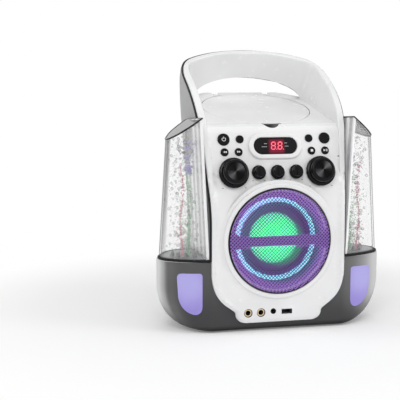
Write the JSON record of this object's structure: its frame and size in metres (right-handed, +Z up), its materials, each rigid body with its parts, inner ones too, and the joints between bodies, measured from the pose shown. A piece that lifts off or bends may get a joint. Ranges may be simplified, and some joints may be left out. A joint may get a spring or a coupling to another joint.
{
  "type": "karaoke machine with disc deck",
  "caption": "Karaoke machine with a hooped handle, sloping top-loading disc deck, lit round loudspeaker, control panel and a lit water tank on each side.",
  "frame": {"origin": "middle of the footprint, on the table", "axes": "+X to the viewer's right, +Y to the back, +Z up"},
  "size_m": [0.292, 0.208, 0.349],
  "materials": {
    "white_shell": "smooth glossy white moulding",
    "grey_shell": "fine satin grey moulding",
    "black_trim": "thin black line",
    "foot_rubber": "matt",
    "screw_steel": "plated",
    "mech_plastic": "matt black moulding",
    "gear_plastic": "natural acetal",
    "rod_steel": "ground",
    "motor_steel": "plated can",
    "grille_mesh": "fine diagonal mesh under purple light",
    "basket_metal": "pressed and painted",
    "magnet_metal": "ferrite and plated steel",
    "surround_rubber": "soft half roll",
    "cone_paper": "paper cone under green light",
    "ring_light": "translucent light ring",
    "board_green": "glass-fibre board",
    "display_glass": "smoked glossy window",
    "display_digits": "red lamp digits",
    "jack_gold": "gilt ring",
    "jack_black": "matt",
    "usb_steel": "plated shell",
    "tank_clear": "clear moulded acrylic",
    "gasket_black": "soft seal",
    "nozzle_grey": "grey moulding",
    "pump_plastic": "sealed moulding",
    "window_lilac": "frosted, lit from behind",
    "heat_sink_metal": "extruded",
    "transformer_core": "laminated core with wound coils",
    "button_black": "glossy black",
    "knob_black": "glossy black with turned cap"
  },
  "bodies": {
    "cabinet": {"front_shell": "white_shell", "rear_shell": "grey_shell", "base_shell": "grey_shell", "edge_trim": "black_trim", "feet": "foot_rubber", "case_screws": "screw_steel", "deck_well": "white_shell", "mech_chassis": "mech_plastic", "guide_rods": "rod_steel", "spindle_motor": "motor_steel", "sled_motor": "motor_steel", "speaker_grille": "grille_mesh", "speaker_basket": "basket_metal", "speaker_magnet": "magnet_metal", "speaker_surround": "surround_rubber", "lamp_bar": "grille_mesh", "light_ring": "ring_light", "control_board": "board_green", "potentiometers": "motor_steel", "display_bezel": "white_shell", "display_window": "display_glass", "display_module": "display_digits", "mic_jacks": "jack_gold", "aux_jack": "jack_black", "usb_port": "usb_steel", "jack_board": "board_green", "left_tank": "tank_clear", "right_tank": "tank_clear", "tank_gaskets": "gasket_black", "nozzle_plates": "nozzle_grey", "pump_housings": "pump_plastic", "lamp_boards": "board_green", "left_window": "window_lilac", "right_window": "window_lilac", "main_board": "board_green", "heat_sink": "heat_sink_metal", "transformer": "transformer_core", "mains_inlet": "jack_black"},
    "lid": {"disc_lid": "white_shell", "lid_clamp": "mech_plastic"},
    "turntable_body": {"turntable": "mech_plastic"},
    "sled": {"laser_sled": "mech_plastic"},
    "gear_body": {"sled_gear": "gear_plastic"},
    "pinion_body": {"motor_pinion": "gear_plastic"},
    "cone_body": {"speaker_cone": "cone_paper"},
    "left_impeller_body": {"left_impeller": "pump_plastic"},
    "right_impeller_body": {"right_impeller": "pump_plastic"},
    "power_button_body": {"power_button": "button_black"},
    "source_button_body": {"source_button": "button_black"},
    "light_button_body": {"light_button": "button_black"},
    "repeat_button_body": {"repeat_button": "button_black"},
    "previous_button_body": {"previous_button": "button_black"},
    "next_button_body": {"next_button": "button_black"},
    "stop_button_body": {"stop_button": "button_black"},
    "play_button_body": {"play_button": "button_black"},
    "volume_knob_body": {"volume_knob": "knob_black"},
    "microphone_knob_body": {"microphone_knob": "knob_black"},
    "echo_knob_body": {"echo_knob": "knob_black"},
    "balance_knob_body": {"balance_knob": "knob_black"},
    "treble_knob_body": {"treble_knob": "knob_black"}
  },
  "joints": [
    {"name": "lid_hinge", "type": "hinge", "parent": "cabinet", "child": "lid", "pos_m": [0, 0.08277, 0.288], "axis": [-1, 0, 0], "range_deg": [0, 45]},
    {"name": "turntable_spin", "type": "hinge", "parent": "cabinet", "child": "turntable_body", "pos_m": [0, 0.01235, 0.26438], "axis": [0, -0.2351, 0.972], "continuous": true},
    {"name": "sled_slide", "type": "slide", "parent": "cabinet", "child": "sled", "axis": [1, 0, 0], "range_m": [0, 0.033]},
    {"name": "sled_gear_spin", "type": "hinge", "parent": "cabinet", "child": "gear_body", "pos_m": [0.04, 0.04435, 0.26183], "axis": [0, -0.2351, 0.972], "range_deg": [0, 316]},
    {"name": "motor_pinion_spin", "type": "hinge", "parent": "cabinet", "child": "pinion_body", "pos_m": [0.058, 0.04435, 0.26183], "axis": [0, -0.2351, 0.972], "range_deg": [-1200, 0]},
    {"name": "cone_slide", "type": "slide", "parent": "cabinet", "child": "cone_body", "axis": [0, -1, 0], "range_m": [-0.002, 0.002], "stiffness_N_per_m": 1500, "deforming": ["speaker_surround"]},
    {"name": "left_impeller_spin", "type": "hinge", "parent": "cabinet", "child": "left_impeller_body", "pos_m": [-0.112, -0.044, 0.075], "axis": [0, 0, 1], "continuous": true},
    {"name": "right_impeller_spin", "type": "hinge", "parent": "cabinet", "child": "right_impeller_body", "pos_m": [0.112, -0.044, 0.075], "axis": [0, 0, 1], "continuous": true},
    {"name": "power_button_press", "type": "slide", "parent": "cabinet", "child": "power_button_body", "axis": [0, 0.9593, -0.2823], "range_m": [0, 0.0012], "stiffness_N_per_m": 800},
    {"name": "source_button_press", "type": "slide", "parent": "cabinet", "child": "source_button_body", "axis": [0, 0.9593, -0.2823], "range_m": [0, 0.0012], "stiffness_N_per_m": 800},
    {"name": "light_button_press", "type": "slide", "parent": "cabinet", "child": "light_button_body", "axis": [0, 0.9593, -0.2823], "range_m": [0, 0.0012], "stiffness_N_per_m": 800},
    {"name": "repeat_button_press", "type": "slide", "parent": "cabinet", "child": "repeat_button_body", "axis": [0, 0.9593, -0.2823], "range_m": [0, 0.0012], "stiffness_N_per_m": 800},
    {"name": "previous_button_press", "type": "slide", "parent": "cabinet", "child": "previous_button_body", "axis": [0, 0.9593, -0.2823], "range_m": [0, 0.0012], "stiffness_N_per_m": 800},
    {"name": "next_button_press", "type": "slide", "parent": "cabinet", "child": "next_button_body", "axis": [0, 0.9593, -0.2823], "range_m": [0, 0.0012], "stiffness_N_per_m": 800},
    {"name": "stop_button_press", "type": "slide", "parent": "cabinet", "child": "stop_button_body", "axis": [0, 0.9593, -0.2823], "range_m": [0, 0.0012], "stiffness_N_per_m": 800},
    {"name": "play_button_press", "type": "slide", "parent": "cabinet", "child": "play_button_body", "axis": [0, 0.9593, -0.2823], "range_m": [0, 0.0012], "stiffness_N_per_m": 800},
    {"name": "volume_knob_turn", "type": "hinge", "parent": "cabinet", "child": "volume_knob_body", "pos_m": [0.0563, -0.08547, 0.198], "axis": [0, -0.9593, 0.2823], "range_deg": [-150, 150]},
    {"name": "microphone_knob_turn", "type": "hinge", "parent": "cabinet", "child": "microphone_knob_body", "pos_m": [-0.0563, -0.08547, 0.198], "axis": [0, -0.9593, 0.2823], "range_deg": [-150, 150]},
    {"name": "echo_knob_turn", "type": "hinge", "parent": "cabinet", "child": "echo_knob_body", "pos_m": [-0.0243, -0.08547, 0.198], "axis": [0, -0.9593, 0.2823], "range_deg": [-150, 150]},
    {"name": "balance_knob_turn", "type": "hinge", "parent": "cabinet", "child": "balance_knob_body", "pos_m": [0, -0.08547, 0.198], "axis": [0, -0.9593, 0.2823], "range_deg": [-150, 150]},
    {"name": "treble_knob_turn", "type": "hinge", "parent": "cabinet", "child": "treble_knob_body", "pos_m": [0.0243, -0.08547, 0.198], "axis": [0, -0.9593, 0.2823], "range_deg": [-150, 150]}
  ],
  "couplings": [
    {"joint": "sled_gear_spin", "follows": "sled_slide", "rad_per_m": 166.67},
    {"joint": "motor_pinion_spin", "follows": "sled_slide", "rad_per_m": -633.33}
  ]
}
